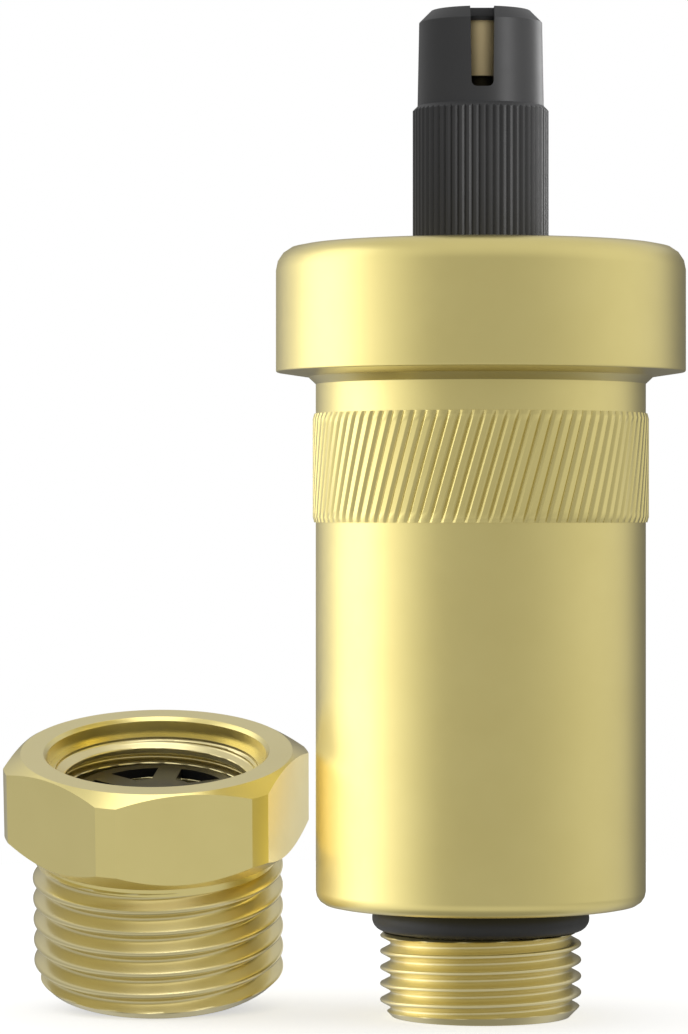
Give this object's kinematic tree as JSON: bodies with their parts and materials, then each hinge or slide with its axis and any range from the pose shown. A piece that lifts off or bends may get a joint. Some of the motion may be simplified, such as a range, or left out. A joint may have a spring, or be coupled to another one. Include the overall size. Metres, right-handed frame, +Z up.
{
  "type": "air release valve",
  "caption": "Automatic air vent: upright brass float casing with a pipe thread below and a black screw cap on top, with a hexagonal check-valve adapter beside it.",
  "frame": {"origin": "centre of the end face of the vent's male pipe thread, which it stands on", "axes": "+Z up the vent's axis towards the screw cap, -Y towards the viewer, the adapter stands on the -X side"},
  "size_m": [0.0565, 0.034, 0.0832],
  "materials": {
    "satin_brass": "fine blasted satin, pale gold",
    "turned_brass": "turned, satin",
    "adapter_brass": "machined, satin",
    "nozzle_brass": "turned, dull",
    "cap_plastic": "black moulded nylon, satin",
    "poppet_plastic": "black moulded acetal, satin",
    "rubber": "black moulded rubber",
    "seal_fibre": "flat pressed gasket",
    "white_plastic": "natural acetal, satin",
    "float_plastic": "natural polypropylene, slightly waxy",
    "spring_steel": "drawn stainless wire"
  },
  "bodies": {
    "casing": {"casing": "satin_brass", "cover": "satin_brass", "cover_gasket": "seal_fibre", "base_o_ring": "rubber", "vent_nozzle": "nozzle_brass", "nozzle_washer": "seal_fibre", "lever_bracket": "white_plastic", "lever_pivot_pin": "spring_steel", "inlet_baffle": "white_plastic", "plunger_spring": "spring_steel"},
    "float": {"float": "float_plastic", "float_hook": "white_plastic"},
    "lever": {"lever": "white_plastic"},
    "plunger": {"plunger": "white_plastic", "plunger_pad": "rubber"},
    "cap_seal": {"cap_seal": "rubber"},
    "vent_cap": {"vent_cap": "cap_plastic"},
    "adapter": {"adapter_body": "adapter_brass", "poppet_spring": "spring_steel"},
    "poppet": {"poppet_spider": "poppet_plastic", "poppet_cone": "poppet_plastic", "poppet_o_ring": "rubber"}
  },
  "joints": [
    {"name": "float_rise", "type": "slide", "parent": "casing", "child": "float", "axis": [0, 0, 1], "range_m": [0, 0.004]},
    {"name": "lever_tilt", "type": "hinge", "parent": "casing", "child": "lever", "pos_m": [0.0045, 0, 0.05485], "axis": [0, 1, 0], "range_deg": [0, 21.57]},
    {"name": "plunger_lift", "type": "slide", "parent": "casing", "child": "plunger", "axis": [0, 0, 1], "range_m": [0, 0.00171], "stiffness_N_per_m": 5, "springref_m": 0.0045, "deforming": ["plunger_spring"]},
    {"name": "cap_lift", "type": "slide", "parent": "casing", "child": "cap_seal", "axis": [0, 0, 1], "range_m": [0, 0.002]},
    {"name": "cap_turn", "type": "hinge", "parent": "cap_seal", "child": "vent_cap", "pos_m": [0, 0, 0.07], "axis": [0, 0, 1], "range_deg": [0, 720.1]},
    {"name": "adapter_lift", "type": "slide", "parent": "casing", "child": "adapter", "axis": [0, 0, 1], "range_m": [0, 0.025]},
    {"name": "poppet_press", "type": "slide", "parent": "adapter", "child": "poppet", "axis": [0, 0.2588, -0.9659], "range_m": [0, 0.0056], "stiffness_N_per_m": 150, "springref_m": -0.008, "deforming": ["poppet_spring"]}
  ],
  "couplings": [
    {"joint": "lever_tilt", "follows": "float_rise", "rad_per_m": 94.111},
    {"joint": "plunger_lift", "follows": "float_rise", "ratio": 0.42857},
    {"joint": "cap_turn", "follows": "cap_lift", "rad_per_m": 6283.2}
  ]
}
